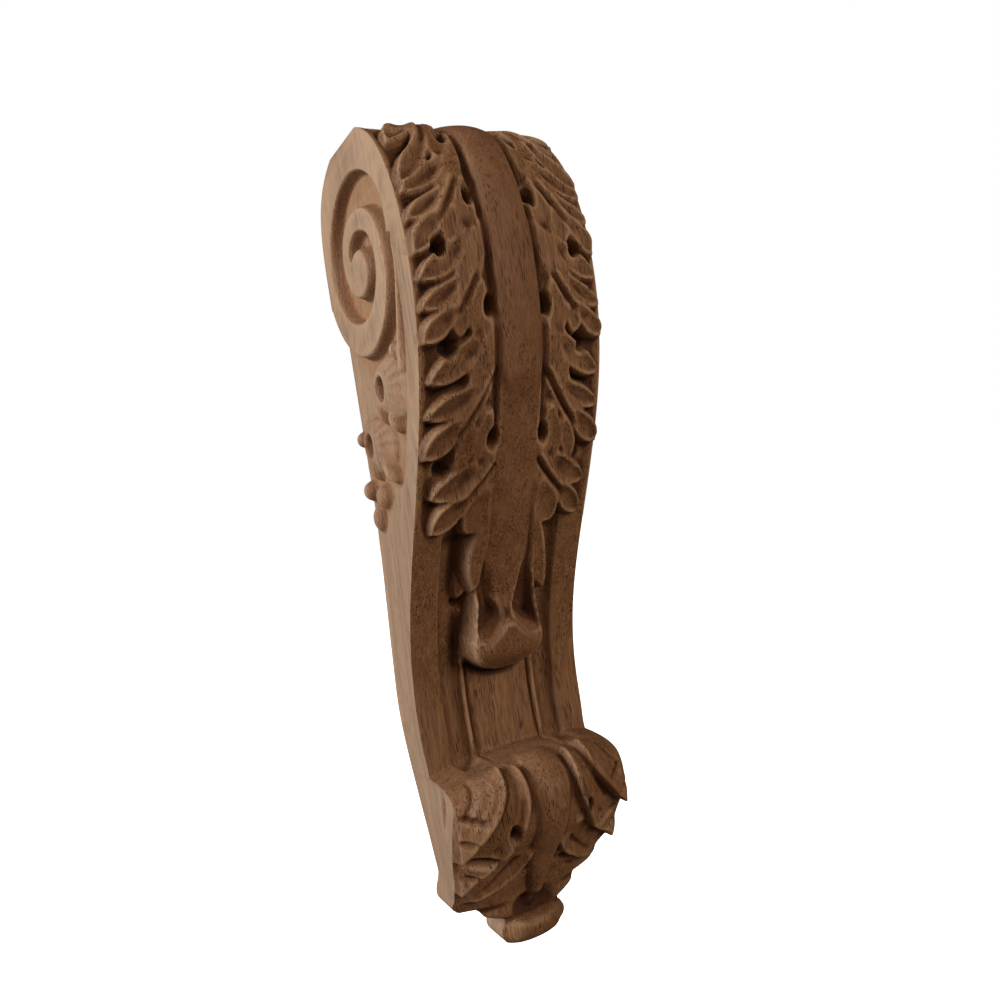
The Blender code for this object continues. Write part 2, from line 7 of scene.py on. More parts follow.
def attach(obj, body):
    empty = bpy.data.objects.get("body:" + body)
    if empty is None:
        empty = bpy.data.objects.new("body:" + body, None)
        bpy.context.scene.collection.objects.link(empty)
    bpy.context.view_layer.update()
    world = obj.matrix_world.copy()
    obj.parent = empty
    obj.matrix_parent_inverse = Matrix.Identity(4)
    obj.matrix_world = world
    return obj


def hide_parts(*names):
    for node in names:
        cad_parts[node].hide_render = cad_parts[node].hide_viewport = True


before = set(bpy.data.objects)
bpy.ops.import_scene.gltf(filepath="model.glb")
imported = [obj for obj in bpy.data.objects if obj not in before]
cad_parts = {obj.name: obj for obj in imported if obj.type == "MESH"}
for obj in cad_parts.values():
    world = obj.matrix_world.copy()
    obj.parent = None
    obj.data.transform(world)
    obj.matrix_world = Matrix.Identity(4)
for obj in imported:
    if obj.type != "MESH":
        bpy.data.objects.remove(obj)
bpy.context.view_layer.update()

# Outline of the bracket
# One block of bare hardwood, sawn to an S-scroll and carved by hand. These curves are its
# side view and its plan widths, in millimetres, with the flat back on Y = 0 and the front at -Y.
HALF_WIDTH = 32.5
TOP = 139.5
TOP_REACH = 43.0
BOTTOM = -135.0
BULGE_DEPTH = 65.5
BULGE_LEVEL = 91.0
WAIST_DEPTH = 16.4
FOOT_START = -64.5
STATION_STEP = 0.56


def direction(angle):
    turn = np.radians(angle)
    return np.array([np.cos(turn), np.sin(turn)])


def bow(p, leave, reach, q, arrive, pull, n=60):
    """Curve in the side view from p to q, with its two directions and their handle lengths."""
    t = np.linspace(0.0, 1.0, n)[:, None]
    p, q = np.array(p, float), np.array(q, float)
    a = p + reach * direction(leave)
    b = q - pull * direction(arrive)
    return (1 - t) ** 3 * p + 3 * (1 - t) ** 2 * t * a + 3 * (1 - t) * t ** 2 * b + t ** 3 * q


def chain(*bows):
    return np.concatenate([bows[0]] + [b[1:] for b in bows[1:]])


def smooth(e0, e1, v):
    t = np.clip((v - e0) / (e1 - e0), 0.0, 1.0)
    return t * t * (3 - 2 * t)


def knots(v, *pairs):
    """Smooth curve through a few (place, value) pairs."""
    x, y = np.array(pairs, float).T
    v = np.clip(v, x[0], x[-1])
    k = np.clip(np.searchsorted(x, v, side="right") - 1, 0, len(x) - 2)
    slope = np.gradient(y, x)
    h = x[k + 1] - x[k]
    t = (v - x[k]) / h
    start = (2 * t ** 3 - 3 * t ** 2 + 1) * y[k] + (t ** 3 - 2 * t ** 2 + t) * h * slope[k]
    return start + (3 * t ** 2 - 2 * t ** 3) * y[k + 1] + (t ** 3 - t ** 2) * h * slope[k + 1]


def lengths(curve):
    return np.concatenate([[0], np.cumsum(np.linalg.norm(np.diff(curve, axis=0), axis=1))])


def upper_front():
    """Flat top, the great bulge and the long sweep in to the shaft."""
    return chain(
        bow((-28, TOP), 180, 5, (-TOP_REACH, TOP), 180, 5, 30),
        bow((-TOP_REACH, TOP), 200, 12, (-BULGE_DEPTH, BULGE_LEVEL), 270, 28),
        bow((-BULGE_DEPTH, BULGE_LEVEL), 270, 26, (-45.5, 25.7), 298, 22))


def edge_profile():
    """Side view of the two front edges, from the flat top to the foot."""
    return chain(
        upper_front(),
        bow((-45.5, 25.7), 298, 32, (-WAIST_DEPTH, -52), 270, 30),
        bow((-WAIST_DEPTH, -52), 270, 4, (-17.0, -68), 264, 4, 30),
        bow((-17.0, -68), 186, 12, (-34.2, -75.5), 270, 4, 40),
        bow((-34.2, -75.5), 270, 12, (-25.5, -99), 290, 6, 40),
        bow((-25.5, -99), 290, 6, (-11.5, -117), 270, 6, 40),
        bow((-11.5, -117), 270, 3, (-13.0, -126), 264, 4, 24),
        bow((-13.0, -126), 264, 5, (-7, BOTTOM), 0, 4, 30))


def middle_profile():
    """Side view of the front along its middle, cut at the same stations as the edges."""
    return chain(
        upper_front(),
        bow((-45.5, 25.7), 298, 32, (-WAIST_DEPTH, -50), 270, 28),
        bow((-WAIST_DEPTH, -50), 270, 3, (-17.0, FOOT_START), 264, 3, 30),
        bow((-17.0, FOOT_START), 178, 15, (-40.5, -77), 270, 7, 40),
        bow((-40.5, -77), 270, 14, (-25.5, -103), 300, 10, 40),
        bow((-25.5, -103), 300, 6, (-17.0, -117), 285, 5, 40),
        bow((-17.0, -117), 285, 3, (-16.6, -126), 264, 4, 24),
        bow((-16.6, -126), 264, 6, (-8, BOTTOM), 0, 6, 30))


def back_profile():
    """Rounded shoulder of the volute, then the flat back down to the foot."""
    return chain(
        bow((-20, TOP), -20, 16, (0, 104), 270, 22),
        bow((0, 104), 270, 60, (0, -130), 270, 60),
        bow((0, -130), 270, 3, (-3, BOTTOM), 190, 2, 20))


def resample(curve, n):
    run = lengths(curve)
    s = np.linspace(0, run[-1], n)
    return np.stack([np.interp(s, run, c) for c in curve.T], 1)


def rear_points(back, edge):
    """Points of the back that belong to the stations, at the same level below the shoulder."""
    shoulder = 112.0
    k = np.argmax(edge[:, 1] < shoulder)
    kb = np.argmax(back[:, 1] < shoulder)
    upper = resample(back[:kb + 1], k + 1)
    z = edge[k:, 1]
    lower = np.stack([np.interp(-z, -back[kb:, 1], back[kb:, 0]), z], 1)
    lower[0] = upper[-1]
    return np.concatenate([upper[:-1], lower])


def stations():
    """Matching points on the front edge, the front middle and the back, one row per station."""
    edge, mid = edge_profile(), middle_profile()
    run = lengths(mid)
    s = np.linspace(0, run[-1], int(run[-1] / STATION_STEP))
    edge = np.stack([np.interp(s, run, v) for v in edge.T], 1)
    corner = np.interp(TOP_REACH, -mid[:40, 0], run[:40])
    mid = np.stack([np.interp(s, run, v) for v in mid.T], 1)
    return edge, mid, rear_points(back_profile(), edge), s - corner


def half_widths(z):
    """Half widths at the front edge and at the back for every level, with the lobes of the foot."""
    front = knots(
        z, (BOTTOM, 4), (-134.7, 6.6), (-133.4, 9.8), (-131, 12.2), (-128, 13.0), (-125.4, 12.0),
        (-123.8, 11.2), (-122.6, 14.4), (-121, 17.8), (-118.4, 19.8), (-117.4, 21.4), (-116.6, 26),
        (-115, 28.6), (-110, 29.6), (-105, 31.4), (-98, 32.8), (-90, 34.2), (-80, 34.0), (-73, 32.6),
        (-68, 31.9), (-58, 32.3), (-40, HALF_WIDTH), (TOP, HALF_WIDTH))
    back = knots(
        z, (BOTTOM, 3.6), (-134.7, 6), (-133.4, 9), (-131, 11.4), (-128, 12.2), (-125.4, 11.2),
        (-123.8, 10.6), (-122.6, 13), (-121, 16), (-119.2, 18.6), (-118.3, 22), (-116.6, 25.4),
        (-104, 27.3), (-90, 28.6), (-80, 29.6), (-69, 30.6), (-58, 31.5), (-45, 32.3),
        (-30, HALF_WIDTH), (TOP, HALF_WIDTH))
    return front, back


# Carving of the sides
# The volute, a spiral band cut round an eye, two drilled flowers with berries and a thin rib,
# all cut into the flat side behind a plain strip that follows the front edge.
FIELD_DEPTH = 4.3
STRIP_WIDTH = 9.4
VOLUTE_EYE = (-29.0, 98.7)
FLOWER_RISE = 4.0
HOLE_DEPTH = 5.4


def band_outside(angle):
    """Outer edge of the spiral band, from where it leaves the back to the eye."""
    return knots(angle, (180, 30), (205, 28.6), (228, 27.8), (262, 27), (300, 24), (345, 21.3),
                 (420, 20), (482, 17.2), (527, 12.6), (560, 10.0), (600, 8.4), (660, 7.4), (900, 7.3))


def band_inside(angle):
    """Inner edge of the spiral band, where the groove starts."""
    return knots(angle, (0, 22.4), (38, 28.7), (80, 31), (123, 27.9), (187, 21.0), (250, 16.3),
                 (310, 13.2), (418, 13.0), (483, 10.2), (505, 7.0), (530, 6.8))


def volute(y, z):
    """Groove of the volute, one in its floor, and the distance beyond the lower end of the band."""
    dy, dz = y - VOLUTE_EYE[0], z - VOLUTE_EYE[1]
    r = np.hypot(dy, dz)
    a = np.degrees(np.arctan2(dz, -dy)) % 360.0
    groove = np.zeros_like(r)
    for turn in (0.0, 360.0):
        v = a + turn
        inside = np.minimum(band_inside(v) - r, r - band_outside(v + 360.0))
        inside = np.where((v > 2) & (v < 503), inside, -9.0)
        groove = np.maximum(groove, smooth(-0.1, 1.1, inside))
    edge = band_outside(np.where(a < 180, a + 360.0, a))
    beyond = np.where((a >= 180) | (a < 8), r - edge, -9.0)
    return groove, beyond


def boss(y, z, cy, cz, ry, rz, turn):
    """Rounded boss, one at its middle and nought at its rim."""
    c, s = direction(turn)
    u = ((y - cy) * c + (z - cz) * s) / ry
    v = ((z - cz) * c - (y - cy) * s) / rz
    return np.sqrt(np.clip(1 - u * u - v * v, 0, 1))


def oval(s, x, cs, cx, rs, rx, turn):
    """Distance from a turned oval's middle, one on its rim."""
    c, q = direction(turn)
    return np.hypot(((s - cs) * c + (x - cx) * q) / rs, ((x - cx) * c - (s - cs) * q) / rx)


def blossom(y, z, hole_y, hole_z, reach):
    """Hooded flower: a drilled hole behind a ridge, and a ribbed fan that falls to the front."""
    ahead, above = hole_y - y, z - hole_z
    r = np.hypot(ahead, above)
    a = np.degrees(np.arctan2(above, ahead))
    rim = knots(a, (-180, 4.6), (-125, 6.2), (-88, 8.0), (-64, 11.5), (-35, 0.92 * reach), (0, reach),
                (32, 0.8 * reach), (62, 10.5), (92, 8.6), (135, 6.2), (180, 4.6))
    body = np.sqrt(np.clip(1 - (r / rim) ** 3, 0, 1))
    rib = 0.24 * np.cos(np.radians(a) * 22) * smooth(6, 10, r) * smooth(-95, -75, a) * smooth(75, 40, a)
    raised = (FLOWER_RISE * body * (1 - 0.55 * smooth(4.5, reach, ahead)) + rib) * (body > 0)
    return raised, smooth(1.15, 0.85, np.hypot((ahead - 1.6) / 2.5, above / 3.7))


def side_ground(z, ahead, y_front, beyond):
    """Sunk field behind the rim strip, rising to the full width down the shaft."""
    strip = smooth(STRIP_WIDTH, STRIP_WIDTH + 1.0, ahead)
    sunk = strip * smooth(-0.2, 0.9, beyond) * (z < 108)
    merge = smooth(12, 36, z)
    ramp = smooth(-58, 34, z) ** 0.85 * np.clip(ahead / np.maximum(-y_front, 1), 0, 1) ** 0.8
    return FIELD_DEPTH * np.where(z > 60, sunk, sunk * merge + ramp * (1 - merge))


def side_rib(y, z):
    """Thin rib that hangs beside the volute and ends in a bud."""
    middle = knots(z, (44, -41.5), (70, -46.0), (84, -50.2), (92, -52.6), (106, -52.0))
    half = knots(z, (44, 2.6), (66, 3.0), (72, 2.2), (92, 1.9), (106, 1.0))
    round_top = np.sqrt(np.clip(1 - ((y - middle) / half) ** 2, 0, 1))
    return 3.0 * round_top * smooth(60, 64, z) * smooth(107, 103, z)


def side_flowers(y, z):
    """Two flowers, their loose petals and three berries: raised height and drilled middles."""
    raised, drilled = np.zeros_like(y), np.zeros_like(y)
    for hole_y, hole_z, reach in ((-28.0, 60.4, 19.5), (-11.8, 44.2, 17.5)):
        bloom, hole = blossom(y, z, hole_y, hole_z, reach)
        raised, drilled = np.maximum(raised, bloom), np.maximum(drilled, hole)
    petals = ((-34.0, 49.2, 5.0, 2.8, 62), (-24.8, 53.6, 5.2, 1.7, 66), (-42.3, 69.9, 2.8, 3.2, 0),
              (-24.0, 34.0, 6.0, 2.9, 43), (-10.8, 36.6, 5.0, 2.2, 60), (-4.4, 47.6, 2.8, 3.2, 0))
    berries = ((-3.2, 29.8, 3.3, 3.7, 0), (-14.2, 26.7, 4.6, 4.5, 0), (-8.2, 20.0, 3.7, 5.2, 12))
    for shape in petals + berries:
        raised = np.maximum(raised, FLOWER_RISE * boss(y, z, *shape))
    return raised, drilled * (z < 75)


def side_recess(y, z, y_front):
    """How far each point of a side lies inside the full width."""
    groove, beyond = volute(y, z)
    depth = side_ground(z, y - y_front, y_front, beyond)
    depth = depth - side_rib(y, z) * (depth > 1)
    raised, drilled = side_flowers(y, z)
    carved = np.maximum(FIELD_DEPTH * 0.93 - raised, 0.2)
    depth = np.where(raised > 0, np.minimum(depth, carved), depth) + HOLE_DEPTH * drilled
    slot = smooth(1.2, 0.4, oval(y, z, -26.0 + 0.02 * (z + 77.5) ** 2, -77.5, 1.3, 5.6, 0))
    return np.maximum(depth, FIELD_DEPTH * groove) + 1.3 * slot


# Carving of the front
# Five pairs of acanthus leaves off a middle stem, a husk with a hollow cup, the fluted shaft
# and the leaf that rolls over at the foot. s runs down the front and x from its middle.
def bend(*places):
    """Spine through its start and tip, drawn towards the place between them."""
    p = np.array(places, float)
    t = np.linspace(0, 1, 18)[:, None]
    return (1 - t) ** 2 * p[0] + 2 * (1 - t) * t * p[1] + t ** 2 * p[2]


def near(s, x, spine):
    """Distance to a spine, how far along it, and the side of it."""
    best = np.full(s.shape, 1e9)
    along, side = np.zeros(s.shape), np.zeros(s.shape)
    n = len(spine) - 1
    for i in range(n):
        a, d = spine[i], spine[i + 1] - spine[i]
        u = np.clip(((s - a[0]) * d[0] + (x - a[1]) * d[1]) / (d @ d), 0, 1)
        e = np.hypot(s - a[0] - u * d[0], x - a[1] - u * d[1])
        closer = e < best
        best = np.where(closer, e, best)
        along = np.where(closer, (i + u) / n, along)
        side = np.where(closer, np.sign((s - a[0]) * d[1] - (x - a[1]) * d[0]), side)
    return best, along, side


def tent(v, reach):
    return np.clip(1 - np.abs(v) / reach, 0, 1)


def lobe(h, s, x, root, way, tip, half, high, low, scoop):
    """Lays one scooped lobe over the relief: a raised rim, a hollow face and sloping flanks."""
    dist, u, _ = near(s, x, bend(root, way, tip))
    t = np.clip((u - 0.62) / 0.38, 0, 1)
    width = half * np.clip(u / 0.62, 0, 1) ** 0.6 * (1 - t * t) ** 0.62
    v = np.clip(dist / np.maximum(width, 0.3), 0, 1)
    level = high + (low - high) * u - scoop * smooth(0.08, 0.45, u) * (1 - v ** 2.4)
    cover = smooth(-1.5, 0.1, width - dist) * smooth(0.0, 0.14, u)
    return h + (level - h) * cover


def stalk(h, s, x, line, half, high, low):
    """Rounded body of a leaf, from the stem to the root of its last lobe."""
    dist, u, _ = near(s, x, bend(*line))
    cover = smooth(-1.2, 0.6, half * (1 - 0.35 * u) - dist) * smooth(0.0, 0.1, u)
    level = high + (low - high) * u - 0.7 * np.clip(dist / half, 0, 1) ** 2
    return h + (level - h) * cover


def vein(h, s, x, line, depth):
    """Sharp groove with a raised lip along its outer side."""
    dist, u, side = near(s, x, bend(*line))
    fade = smooth(0.0, 0.15, u) * smooth(1.0, 0.8, u)
    lip_line = 0.7 * tent(dist - 1.5, 1.3) * (side < 0)
    return h + (lip_line - depth * tent(dist, 1.1)) * fade


def drill(h, s, x, cs, cx, rs, rx, floor, turn=0.0):
    m = smooth(1.2, 0.7, oval(s, x, cs, cx, rs, rx, turn))
    return h * (1 - m) + np.minimum(h, floor) * m


# Each leaf: its body line, its main vein, and its lobes as root, bend, tip and half width
LEAVES = (
    (((102, 9.2), (114, 11.5), (124, 18)), ((109.8, 6.9), (116.6, 10.7), (125.4, 20.5)),
     (((109, 12), (116.5, 18), (121.3, 28.2), 3.5), ((120, 15.5), (125, 21), (132.8, 27.4), 3.5),
      ((116.5, 10), (126, 12.6), (134.2, 15.8), 4.0))),
    (((67, 11), (86, 12), (98, 19)), ((83.1, 8.4), (93.4, 13.5), (105, 23.5)),
     (((71, 12), (80, 17), (86.5, 29.8), 3.6), ((87.5, 14.5), (92.3, 20), (96.6, 30.4), 2.9),
      ((96.5, 18.5), (101.3, 24), (108.4, 31.4), 3.5), ((98, 16), (105, 19), (113, 20.7), 2.6),
      ((93, 10.6), (103, 13), (111.8, 13), 3.4))),
    (((39, 12), (54, 13), (66, 20)), ((56, 12.5), (64, 17.2), (68.8, 22)),
     (((45, 14), (52.5, 19), (57.9, 30.6), 3.3), ((57, 17.5), (62, 22.5), (66, 31), 2.4),
      ((65, 20.3), (70, 25), (75, 31.6), 3.0), ((64.5, 18), (69, 20.6), (74.2, 20.3), 2.3),
      ((57, 12.8), (66, 12.6), (74.5, 15), 3.1))),
    (((7, 13), (26, 13), (39, 20)), ((27, 13), (37, 18.6), (43.5, 23.4)),
     (((20, 14.5), (27, 20), (32.2, 30.8), 3.1), ((31.5, 18.5), (36.3, 23.5), (41, 31.2), 2.3),
      ((38, 20.5), (44, 26), (50.9, 31.4), 3.1), ((36, 17.6), (43, 19.5), (48, 20.6), 2.7),
      ((26, 12.8), (36, 12.2), (44.4, 14), 3.2))),
    (((-18, 14), (2, 14), (15, 19)), ((0, 14.6), (8, 16.8), (16, 20.6)),
     (((-8, 16), (4, 21), (12.6, 29.2), 3.5), ((10, 17), (19, 22), (29.0, 30.6), 3.2),
      ((2, 14.4), (12, 14.6), (20.4, 16.4), 3.7))))
EYES = ((11.3, 12.0), (33.2, 10.8), (65.5, 10.0), (103.6, 9.2))
HOLES = ((113.1, 25.2, 2.5, 2.0, 0), (77.3, 23.6, 2.6, 2.2, 0), (49.2, 23.9, 2.5, 2.1, 0),
         (8.2, 25.2, 4.2, 1.3, 58))


def leaf(h, s, x, body, main, lobes):
    """One acanthus leaf: its body, its lobes from the last to the first, and its vein."""
    h = stalk(h, s, x, body, 5.4, 5.0, 4.2)
    for root, way, tip, half in reversed(lobes):
        inner = tip[1] < 22
        h = lobe(h, s, x, root, way, tip, half, 5.0, 4.1 if inner else 3.5, 0.9 if inner else 1.7)
    return vein(h, s, x, main, 1.9)


def flutes(x):
    """Cross-section of the plain shaft: flat borders, hollow flutes, fillets and a middle panel."""
    hollow = -0.7 - 2.7 * np.sqrt(np.clip(1 - ((x - 18.4) / 3.75) ** 2, 0, 1))
    fillet = -0.5 - 0.5 * np.clip(np.abs(x - 13.6) - 0.5, 0, 1)
    panel = -0.5 - 0.9 * (x / 12.2) ** 4
    h = np.where(x > 22.3, 0.0, np.where(x > 14.6, hollow, np.where(x > 12.7, fillet, panel)))
    return h - 1.3 * tent(x - 12.55, 0.7) - 0.5 * tent(x - 22.2, 0.6)


def stem(h, s, x):
    """Middle stem with its raised tongue and the grooves beside it."""
    rise = 0.55 + 0.45 * smooth(-18, 20, s)
    low = (4.8 - 0.9 * (x / 7.6) ** 2) * rise
    cover = smooth(8.3, 7.5, x) * smooth(152, 140, s)
    h = h * (1 - cover) + low * cover
    h = h - 1.5 * tent(x - 8.6, 1.2) * smooth(0, 12, s) * smooth(112, 90, s)
    end = np.clip((s - 80.0) / 14.0, 0, 1)
    tongue = smooth(-1.8, 1.3, 6.9 * np.sqrt(1 - end ** 2) - x) * smooth(94.5, 84, s)
    return h * (1 - tongue) + (6.7 * rise - 1.5 * (x / 7) ** 2) * tongue


def husk(h, s, x, left):
    """Husk that spreads from the stem, with a lance leaf that stands free on the right."""
    half = knots(s, (96, 7.5), (110, 8.2), (122, 9.0), (130, 10.6), (136, 13.6), (141, 15.0),
                 (148, 14.6), (154, 12.4), (176, 11.6))
    body = smooth(-1.4, 0.5, half - x) * smooth(98, 112, s) * smooth(180, 176, s)
    h = h * (1 - body) + (4.6 + 0.9 * smooth(120, 150, s) - 0.8 * (x / 13) ** 2) * body
    lance = lobe(h, s, x, (124, 7.4), (144, 10.4), (158.4, 14.6), 3.6, 5.0, 5.6, 0.8)
    h = np.where(left, h + (lance - h) * 0.25, lance)
    gap = near(s, x, bend((128, 7.0), (143, 8.0), (154, 10.6)))[0]
    h = h - 1.9 * tent(gap, 1.1) * ~left
    slot = near(s, x, bend((152.4, 8.6), (155.4, 10.8), (159.6, 15.0)))[0]
    return h - 3.4 * tent(slot, 2.2) * np.where(left, 1.0, smooth(11.0, 13.0, x))


def lip_line(x):
    """Where the hollows of the cup rise in to its lip, with a cusp in the middle."""
    return knots(x, (0, 163.8), (1.0, 164.1), (4.0, 167.6), (7.4, 171.0), (10.6, 171.4),
                 (13.4, 170.0), (16, 169.0))


def cup(h, s, x, left):
    """Hollow cup at the husk's end: its two walls, its hollows and the broad ridge between them."""
    rim = knots(s, (138, 9.2), (147, 10.0), (154, 10.6), (160, 11.2), (168, 12.3), (175, 13.1),
                (184, 13.1))
    rise = knots(s, (147, 4.8), (156, 6.8), (166, 9.2), (176, 10.6))
    start = smooth(np.where(left, 151, 132), np.where(left, 158, 150), s)
    wall = smooth(1.9, 0.0, x - rim) * start * smooth(181, 171, s)
    h = np.where(wall > 0, np.maximum(h, rise * wall), h)
    ridge = knots(s, (130, 8.4), (140, 6.8), (150, 4.8), (157, 3.0), (162, 1.4), (166, 0.6), (174, 0.4))
    floor = knots(s, (130, 4.8), (138, 3.6), (146, 2.8), (158, 2.3), (166, 2.5), (176, 3.0))
    bottom = floor + (10.8 - floor) * smooth(-7.0, 1.0, s - lip_line(x))
    inside = smooth(-0.1, np.where(left, 4.0, 1.5), x - ridge) * smooth(0.2, -1.5, x - rim)
    above_lip = s - lip_line(x) < 2
    hollow = inside * smooth(128, 138, s) * above_lip
    middle = knots(s, (140, 5.5), (152, 5.3), (159, 5.8), (163.8, 7.4), (167, 10.6)) - 0.03 * x * x
    slope = np.where(left, 2.4, 0.5)
    on_ridge = smooth(1, -0.6, (x - ridge) / slope) * smooth(146, 154, s) * above_lip
    h = h * (1 - on_ridge) + middle * on_ridge
    return h * (1 - hollow) + np.minimum(h, bottom) * hollow


def lip(h, s, x):
    """Rolled lip that closes the cup."""
    t = np.clip((s - 173.5) / 12.4, 0, 1)
    half = 13.9 * (1 - t ** 1.8) ** 0.55
    cover = smooth(-0.9, 0.5, half - x) * smooth(-0.5, 1.5, s - lip_line(x)) * smooth(187, 185.5, s)
    crown = 10.9 - 7.4 * t ** 2.0 - 2.4 * (x / 14.4) ** 4
    return h * (1 - cover) + crown * cover


def crest(s, x, spine, height, gentle, steep):
    """Ridge that falls slowly on its outer side and quickly on its inner side."""
    dist, u, side = near(s, x, spine)
    reach = np.where(side < 0, gentle, steep)
    return height * np.clip(1 - dist / reach, 0, 1) ** 1.4 * smooth(0, 0.16, u)


def gouge_lines(s, x, spine, first):
    """Fine lines that follow a crest down its gentle side."""
    dist, u, side = near(s, x, spine)
    fade = smooth(0.12, 0.35, u) * smooth(0.8, 0.55, u) * (side < 0)
    return 0.55 * (tent(dist - first, 0.9) + tent(dist - first - 2.6, 0.9)) * fade


def foot_crests(s, x):
    """Middle rib and the swept crests of the leaf that rolls over at the foot."""
    rib_half = knots(s, (234, 5.6), (247, 7.2), (260, 6.0), (280, 5.6), (290, 3.8), (300, 2.2))
    g = 2.6 * np.sqrt(np.clip(1 - (x / rib_half) ** 2, 0, 1)) * smooth(304, 296, s)
    outer = chain(bend((233, 16.6), (247, 13.6), (256, 22.0)),
                  bend((256, 22.0), (262, 27.5), (270, 34.0)))
    inner = chain(bend((234, 11.6), (250, 6.2), (264, 14.0)),
                  bend((264, 14.0), (275, 19.0), (288, 31.5)))
    last = bend((272, 5.2), (286, 7.0), (293, 23.0))
    for one in ((inner, 3.6, 9.5, 1.3), (outer, 4.4, 13.0, 1.4), (last, 2.4, 6.0, 1.2)):
        g = np.maximum(g, crest(s, x, *one))
    for spine, first in ((inner, 2.0), (outer, 2.4), (last, 1.8)):
        g = g - gouge_lines(s, x, spine, first)
    return g


def foot_cuts(g, s, x):
    """Veins, slots and eyes cut into the leaf of the foot."""
    for line, depth, reach in ((bend((239, 25.0), (247, 26.0), (253, 29.6)), 1.3, 1.5),
                               (bend((247, 18.0), (254, 18.2), (262, 23.4)), 0.9, 1.8),
                               (bend((252, 11.8), (260, 13.0), (268, 20.6)), 1.0, 1.8),
                               (bend((277, 11.0), (283, 14.0), (289, 21.0)), 1.0, 1.6),
                               (bend((284, 5.8), (290, 8.6), (294, 16.0)), 0.8, 1.4)):
        g = g - depth * tent(near(s, x, line)[0], reach)
    slots = ((254.6, 27.4, 1.1, 4.6, 16, 1.7), (261.6, 30.2, 1.0, 3.4, 10, 1.5),
             (272.6, 24.6, 1.9, 6.6, -4, 4.0), (280.0, 27.0, 1.0, 3.2, 14, 1.6))
    eyes = ((263.6, 13.9, 4.8, 2.1, -14, 5.6), (287.6, 11.4, 3.8, 1.6, 52, 4.4))
    for cs, cx, rs, rx, turn, depth in slots + eyes:
        g = g - depth * smooth(1.2, 0.55, oval(s, x, cs, cx, rs, rx, turn))
    return g


def foot_drop(g, s, x):
    """Hollow above the drop and the drop's own lip."""
    hollow = smooth(1.15, 0.25, oval(s, x, 303.0, 0.0, 5.6, 9.6, 0))
    tongue = np.clip(1 - x / 2.4, 0, 1) * smooth(306, 299, s)
    g = g - 5.4 * hollow * (1 - 0.7 * tongue)
    return g + 1.5 * smooth(305, 309, s) * smooth(319, 311, s) * smooth(12, 7, x)


def leaf_place(down):
    """Place s of the leaves, husk and cup, which start a little below the top edge."""
    return down - knots(down, (-40, 5.0), (30, 5.0), (50, 4.6), (72, 5.4), (105, 6.2), (135, 7.4),
                        (205, 7.6), (229, 0.0), (400, 0.0))


def front_relief(s, x, half):
    """Height of the carving over the plain curved front, nearly alike on both sides."""
    left = x < 0
    x = np.abs(x)
    down, s = s, leaf_place(s)
    upper = smooth(-10, 6, s) * smooth(134, 128, s)
    shaft = smooth(131, 139, s) * (1 - 0.88 * smooth(221, 234, down))
    h = flutes(x) * shaft - 1.1 * smooth(31.6, 29.5, x) * upper
    h = h + (3.9 - 0.35 * (x - 9)) * smooth(15.5, 12.5, x) * upper
    h = lip(cup(husk(h, s, x, left), s, x, left), s, x)
    for one in LEAVES:
        h = leaf(h, s, x, *one)
    for place in HOLES:
        h = drill(h, s, x, *place[:4], -3.0, place[4])
    h = stem(h, s, x)
    for cs, cx in EYES:
        h = drill(h, s, x, cs, cx, 3.2, 1.5, -2.0, 8)
    foot = foot_drop(foot_cuts(foot_crests(down, x), down, x), down, x)
    on = smooth(231, 240, down)
    h = h * (1 - on) + foot * on
    ends = smooth(-9, 18, down) * smooth(0.0, 3.0, down[-1, 0] - down)
    return soften(h) * smooth(0.0, 1.4, half - x) * ends


def soften(h):
    """Rounds the relief by one facet, as a worn chisel edge does."""
    p = np.pad(h, 1, mode="edge")
    p = (p[:-2] + 2 * p[1:-1] + p[2:]) / 4
    return (p[:, :-2] + 2 * p[:, 1:-1] + p[:, 2:]) / 4


# The carved skin
# The outline and the carving joined in one closed skin of wood, fixed by its flat back.
# It is cut finely, then thinned where the wood is plain.
MILLIMETRE = 0.001
FRONT_HALF = 78
SIDE_COLUMNS = 104
BACK_COLUMNS = 4
KEPT_SHARE = 0.43
SHARP_ANGLE = 60.0
BACK_CORNER = 0.0004
BACK_TURN = 0.3
NICK_REACH = 3
HOLLOW_REACH = 7
PLAIN_BORDER = 9.3


def front_strip(edge, mid, s, half):
    """Points of the carved front, one row per station."""
    c = np.linspace(-1, 1, 2 * FRONT_HALF + 1)
    x = half[:, None] * c[None, :]
    share = (1 - np.abs(c) ** 2.2)[None, :, None]
    base = edge[:, None, :] * (1 - share) + mid[:, None, :] * share
    along = np.gradient(base, axis=0)
    along = along / (np.linalg.norm(along, axis=2, keepdims=True) + 1e-12)
    outward = np.stack([along[..., 1], -along[..., 0]], 2)
    h = front_relief(s[:, None] + 0 * x, x, half[:, None])
    return np.concatenate([x[..., None], base + outward * h[..., None]], 2)


def side_strip(edge, rear, front_half, back_half):
    """Points of the right side, from the back edge to the front edge."""
    t = np.linspace(0, 1, SIDE_COLUMNS + 1)[None, :]
    place = rear[:, None, :] * (1 - t[..., None]) + edge[:, None, :] * t[..., None]
    w = back_half[:, None] * (1 - t) + front_half[:, None] * t
    depth = soften(side_recess(place[..., 0], place[..., 1], edge[:, :1] + 0 * w))
    depth[:, -1] = 0
    return np.concatenate([(w - depth)[..., None], place], 2)


